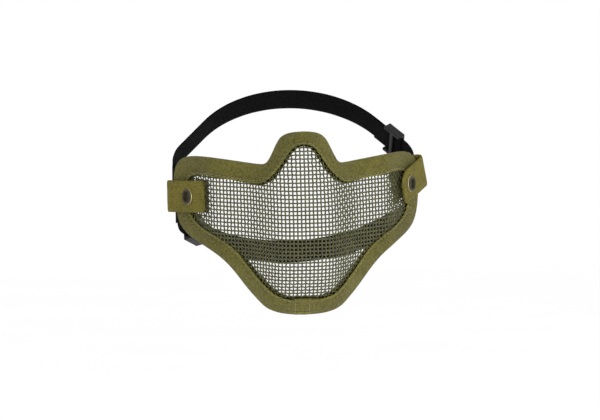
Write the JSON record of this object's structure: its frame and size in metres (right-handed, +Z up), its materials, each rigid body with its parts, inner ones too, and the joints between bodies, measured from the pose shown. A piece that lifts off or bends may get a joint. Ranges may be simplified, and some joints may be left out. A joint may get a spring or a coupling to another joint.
{
  "type": "half face mask",
  "caption": "Steel-mesh lower-face mask with a bound edge, press-stud side tabs and two adjustable elastic head straps.",
  "frame": {"origin": "middle of the face opening, on the median plane, level with the strap tabs and in the plane of the wings' rear edges", "axes": "+X to the wearer's left, +Y towards the back of the head, +Z up; the muzzle faces -Y"},
  "size_m": [0.2083, 0.1886, 0.1775],
  "materials": {
    "wire_cloth": "olive paint on woven steel wire",
    "foam": "closed-cell foam strip",
    "binding_tape": "olive woven binding tape",
    "tab_webbing": "ochre-olive flat webbing",
    "stud_metal": "dull lacquered press stud",
    "elastic": "black woven elastic and webbing",
    "slider_plastic": "black moulded plastic"
  },
  "bodies": {
    "mask": {"mesh_panel": "wire_cloth", "edge_foam": "foam", "edge_binding": "binding_tape", "binding_lap": "binding_tape", "left_tab_base": "tab_webbing", "left_snap_stud": "stud_metal", "left_snap_post": "stud_metal", "left_strap_anchor": "elastic", "right_tab_base": "tab_webbing", "right_snap_stud": "stud_metal", "right_snap_post": "stud_metal", "right_strap_anchor": "elastic", "upper_strap": "elastic", "upper_strap_tail": "elastic", "lower_strap": "elastic", "lower_strap_tail": "elastic"},
    "left_flap": {"left_tab_flap": "tab_webbing", "left_snap_cap": "stud_metal", "left_snap_socket": "stud_metal"},
    "right_flap": {"right_tab_flap": "tab_webbing", "right_snap_cap": "stud_metal", "right_snap_socket": "stud_metal"},
    "upper_adjuster": {"upper_slider": "slider_plastic"},
    "lower_adjuster": {"lower_slider": "slider_plastic"}
  },
  "joints": [
    {"name": "left_flap_hinge", "type": "hinge", "parent": "mask", "child": "left_flap", "pos_m": [-0.10128, -0.00325, 0.003], "axis": [0, 0, -1], "range_deg": [0, 110]},
    {"name": "right_flap_hinge", "type": "hinge", "parent": "mask", "child": "right_flap", "pos_m": [0.10156, -0.00283, 0.018], "axis": [-0.1888, -0.2852, 0.9397], "range_deg": [0, 110]},
    {"name": "upper_slider_slide", "type": "slide", "parent": "mask", "child": "upper_adjuster", "axis": [-0.5878, 0.6012, 0.5413], "range_m": [-0.002, 0.014]},
    {"name": "lower_slider_slide", "type": "slide", "parent": "mask", "child": "lower_adjuster", "axis": [0.5878, 0.7271, -0.3546], "range_m": [-0.001, 0.015]}
  ]
}
